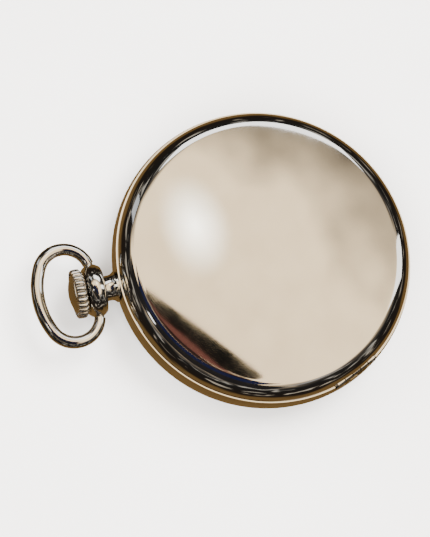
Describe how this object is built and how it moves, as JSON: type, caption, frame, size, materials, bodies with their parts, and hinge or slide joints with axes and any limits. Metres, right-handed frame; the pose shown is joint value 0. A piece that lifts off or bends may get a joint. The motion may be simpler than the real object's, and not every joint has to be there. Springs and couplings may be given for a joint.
{
  "type": "pocket watch",
  "caption": "Open-face keyless pocket watch with a hinged back and dust cover, crown, swinging bow, sub-seconds dial and a full going train.",
  "frame": {"origin": "middle of the crystal's flat outer face, on which the watch lies", "axes": "+Z out of the back cover along the watch's axis, +Y towards the pendant (12 o'clock), +X completes the right-handed set"},
  "size_m": [0.05, 0.064, 0.0131],
  "materials": {
    "polished_case": "mirror polished nickel silver",
    "case_inner": "polished, fine spotting on the inner cover",
    "crown_steel": "polished, fluted",
    "crystal": "clear mineral glass",
    "enamel": "white enamel",
    "blued": "heat-blued steel",
    "nickel_plate": "nickelled, Geneva stripes",
    "gilt_wheel": "gilt brass, circular grain",
    "bright_steel": "polished steel",
    "brass": "turned brass",
    "ruby": "synthetic ruby",
    "spring_steel": "spring steel"
  },
  "bodies": {
    "case": {"case_middle": "polished_case", "pendant": "polished_case", "bezel": "polished_case", "crystal": "crystal", "hinge_pin": "bright_steel", "dial": "enamel", "seconds_dial": "enamel", "main_plate": "nickel_plate", "barrel_bridge": "nickel_plate", "train_bridge": "nickel_plate", "balance_cock": "nickel_plate", "pallet_cock": "nickel_plate", "case_screws": "bright_steel", "bridge_screws": "blued", "pallet_cock_screws": "blued", "crown_wheel_screw": "bright_steel", "jewels": "ruby", "regulator": "bright_steel", "hairspring": "blued", "click_spring": "spring_steel"},
    "back_cover": {"back_cover": "polished_case"},
    "dust_cover": {"dust_cover": "case_inner"},
    "bow": {"bow": "polished_case"},
    "winding": {"winding_pinion": "bright_steel"},
    "crown": {"crown": "crown_steel", "winding_stem": "bright_steel"},
    "clutch": {"clutch": "bright_steel"},
    "crown_wheel": {"crown_wheel": "bright_steel"},
    "ratchet": {"ratchet_wheel": "bright_steel", "ratchet_screw": "bright_steel", "barrel_arbor": "bright_steel"},
    "click": {"click": "bright_steel"},
    "barrel": {"barrel_drum": "brass", "barrel_cover": "brass", "mainspring": "spring_steel"},
    "centre": {"centre_wheel": "gilt_wheel", "centre_pinion": "bright_steel", "cannon_pinion": "bright_steel", "minute_hand": "blued"},
    "third": {"third_wheel": "gilt_wheel", "third_pinion": "bright_steel"},
    "fourth": {"fourth_wheel": "gilt_wheel", "fourth_pinion": "bright_steel", "seconds_hand": "blued"},
    "escape": {"escape_wheel": "bright_steel", "escape_pinion": "bright_steel"},
    "pallet": {"pallet_fork": "bright_steel", "pallet_stones": "ruby"},
    "balance": {"balance_wheel": "gilt_wheel", "balance_screws": "gilt_wheel", "balance_staff": "bright_steel", "roller": "gilt_wheel"},
    "minute_wheel": {"minute_wheel": "brass", "minute_pinion": "brass"},
    "hour_wheel": {"hour_wheel": "brass", "hour_hand": "blued"},
    "intermediate_wheel": {"intermediate_wheel": "bright_steel"},
    "setting_wheel": {"setting_wheel": "bright_steel"},
    "setting_lever": {"setting_lever": "bright_steel"},
    "yoke": {"yoke": "bright_steel"}
  },
  "joints": [
    {"name": "back_cover_open", "type": "hinge", "parent": "case", "child": "back_cover", "pos_m": [-0.02184, -0.00995, 0.009], "axis": [0.4147, -0.91, 0], "range_deg": [0, 95]},
    {"name": "dust_cover_open", "type": "hinge", "parent": "case", "child": "dust_cover", "pos_m": [-0.02184, -0.00995, 0.009], "axis": [0.4147, -0.91, 0], "range_deg": [0, 86]},
    {"name": "bow_swing", "type": "hinge", "parent": "case", "child": "bow", "pos_m": [0, 0.0285, 0.0066], "axis": [1, 0, 0], "range_deg": [-100, 100]},
    {"name": "crown_turn", "type": "hinge", "parent": "case", "child": "winding", "pos_m": [0, 0.0174, 0.0066], "axis": [0, 1, 0], "continuous": true},
    {"name": "crown_pull", "type": "slide", "parent": "winding", "child": "crown", "axis": [0, 1, 0], "range_m": [0, 0.0012]},
    {"name": "clutch_slide", "type": "slide", "parent": "winding", "child": "clutch", "axis": [0, 1, 0], "range_m": [-0.00066, 0]},
    {"name": "setting_lever_turn", "type": "hinge", "parent": "case", "child": "setting_lever", "pos_m": [0.00495, 0.0188, 0.0066], "axis": [0, 0, 1], "range_deg": [-16, 0]},
    {"name": "yoke_turn", "type": "hinge", "parent": "case", "child": "yoke", "pos_m": [0.0055, 0.0156, 0.0066], "axis": [0, 0, 1], "range_deg": [0, 9.5]},
    {"name": "crown_wheel_turn", "type": "hinge", "parent": "case", "child": "crown_wheel", "pos_m": [0, 0.01367, 0.009], "axis": [0, 0, 1], "continuous": true},
    {"name": "ratchet_turn", "type": "hinge", "parent": "case", "child": "ratchet", "pos_m": [-0.00496, 0.00708, 0.009], "axis": [0, 0, 1], "continuous": true},
    {"name": "click_turn", "type": "hinge", "parent": "case", "child": "click", "pos_m": [-0.01001, 0.01083, 0.0091], "axis": [0, 0, 1], "range_deg": [0, 8], "stiffness_Nm_per_rad": 0.00002},
    {"name": "seconds_turn", "type": "hinge", "parent": "case", "child": "fourth", "pos_m": [0, -0.009, 0.007], "axis": [0, 0, 1], "continuous": true},
    {"name": "escape_turn", "type": "hinge", "parent": "case", "child": "escape", "pos_m": [0.00437, -0.00749, 0.007], "axis": [0, 0, 1], "continuous": true},
    {"name": "third_turn", "type": "hinge", "parent": "case", "child": "third", "pos_m": [-0.00347, -0.00526, 0.0068], "axis": [0, 0, 1], "continuous": true},
    {"name": "minutes_turn", "type": "hinge", "parent": "case", "child": "centre", "pos_m": [0, 0, 0.0061], "axis": [0, 0, 1], "continuous": true},
    {"name": "barrel_turn", "type": "hinge", "parent": "case", "child": "barrel", "pos_m": [-0.00496, 0.00708, 0.0073], "axis": [0, 0, 1], "continuous": true},
    {"name": "minute_wheel_turn", "type": "hinge", "parent": "case", "child": "minute_wheel", "pos_m": [0, 0.003, 0.0047], "axis": [0, 0, 1], "continuous": true},
    {"name": "hours_turn", "type": "hinge", "parent": "case", "child": "hour_wheel", "pos_m": [0, 0, 0.0041], "axis": [0, 0, 1], "continuous": true},
    {"name": "intermediate_wheel_turn", "type": "hinge", "parent": "case", "child": "intermediate_wheel", "pos_m": [0, 0.00737, 0.0047], "axis": [0, 0, 1], "continuous": true},
    {"name": "setting_wheel_turn", "type": "hinge", "parent": "case", "child": "setting_wheel", "pos_m": [0, 0.01162, 0.0047], "axis": [0, 0, 1], "continuous": true},
    {"name": "pallet_swing", "type": "hinge", "parent": "case", "child": "pallet", "pos_m": [0.00731, -0.00647, 0.0069], "axis": [0, 0, 1], "range_deg": [-4, 4]},
    {"name": "balance_swing", "type": "hinge", "parent": "case", "child": "balance", "pos_m": [0.011, -0.0052, 0.0083], "axis": [0, 0, 1], "range_deg": [-270, 270]}
  ],
  "couplings": [
    {"joint": "dust_cover_open", "follows": "back_cover_open", "ratio": 0.9},
    {"joint": "clutch_slide", "follows": "crown_pull", "ratio": -0.54167},
    {"joint": "setting_lever_turn", "follows": "crown_pull", "rad_per_m": -222.22},
    {"joint": "yoke_turn", "follows": "crown_pull", "rad_per_m": 128.97},
    {"joint": "crown_wheel_turn", "follows": "crown_turn", "ratio": -0.73333},
    {"joint": "ratchet_turn", "follows": "crown_turn", "ratio": 0.48889},
    {"joint": "escape_turn", "follows": "seconds_turn", "ratio": -10},
    {"joint": "third_turn", "follows": "seconds_turn", "ratio": -0.13333},
    {"joint": "minutes_turn", "follows": "seconds_turn", "ratio": 0.016667},
    {"joint": "barrel_turn", "follows": "seconds_turn", "ratio": -0.002381},
    {"joint": "minute_wheel_turn", "follows": "seconds_turn", "ratio": -0.0055556},
    {"joint": "hours_turn", "follows": "seconds_turn", "ratio": 0.0013889},
    {"joint": "intermediate_wheel_turn", "follows": "seconds_turn", "ratio": 0.0058823},
    {"joint": "setting_wheel_turn", "follows": "seconds_turn", "ratio": -0.0058823}
  ]
}
